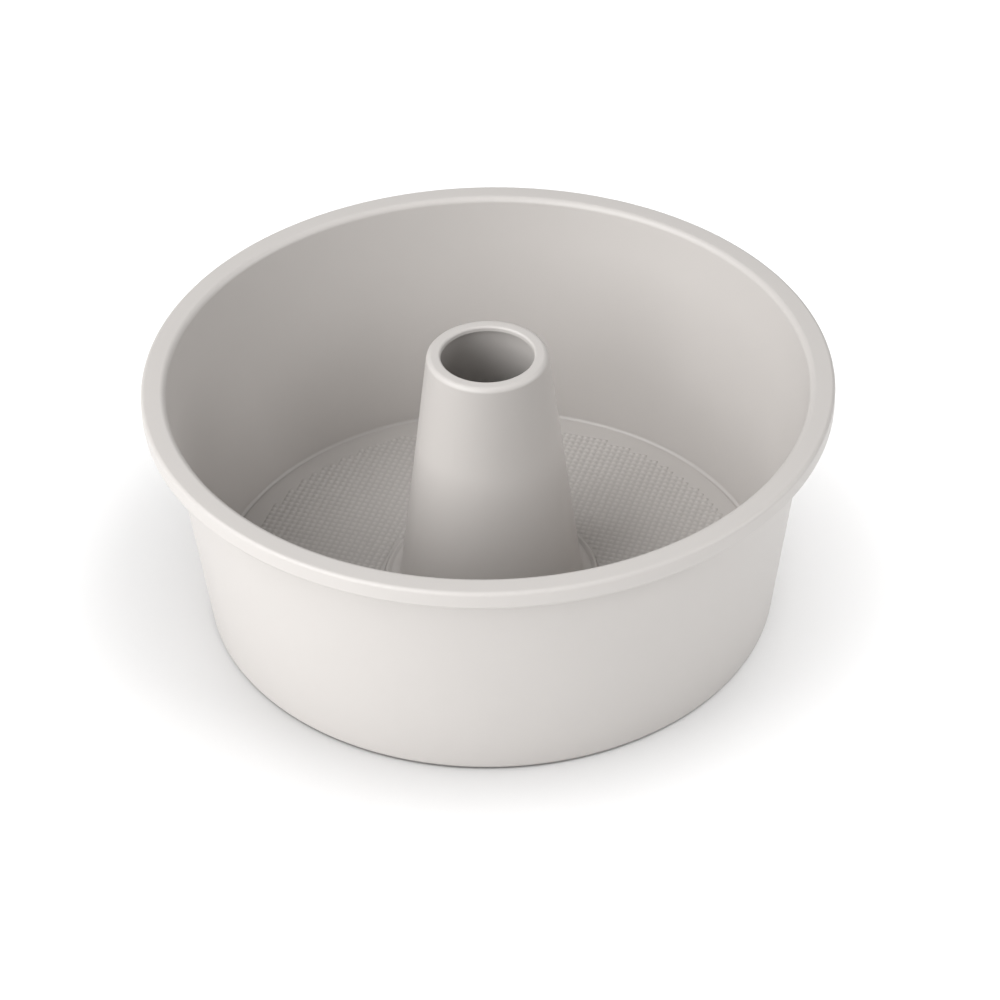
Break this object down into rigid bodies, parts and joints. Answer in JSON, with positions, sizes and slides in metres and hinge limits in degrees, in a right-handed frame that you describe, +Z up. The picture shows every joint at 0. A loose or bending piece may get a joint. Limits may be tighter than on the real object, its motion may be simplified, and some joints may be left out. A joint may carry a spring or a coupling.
{
  "type": "angel food cake pan",
  "caption": "Round tube pan for angel food cake: tapered wall with a rolled rim, and a loose textured base plate with a hollow centre tube that lifts out with it.",
  "frame": {"origin": "centre of the circle on which the pan stands, on the underside of the seat", "axes": "+Z up along the pan's own axis, from the base plate to the mouth; X and Y are any two radii, as the pan is round"},
  "size_m": [0.27, 0.27, 0.1133],
  "materials": {
    "nonstick_outer": "satin warm grey non-stick coating on steel sheet",
    "nonstick_plate": "satin warm grey non-stick coating, embossed with a fine grid of bumps",
    "nonstick_tube": "satin warm grey non-stick coating on drawn steel",
    "rim_steel": "bare drawn steel wire"
  },
  "bodies": {
    "pan": {"pan_wall": "nonstick_outer", "rim_wire": "rim_steel"},
    "insert": {"base_plate": "nonstick_plate", "center_tube": "nonstick_tube"}
  },
  "joints": [
    {"name": "insert_lift", "type": "slide", "parent": "pan", "child": "insert", "axis": [0, 0, 1], "range_m": [0, 0.112]}
  ]
}
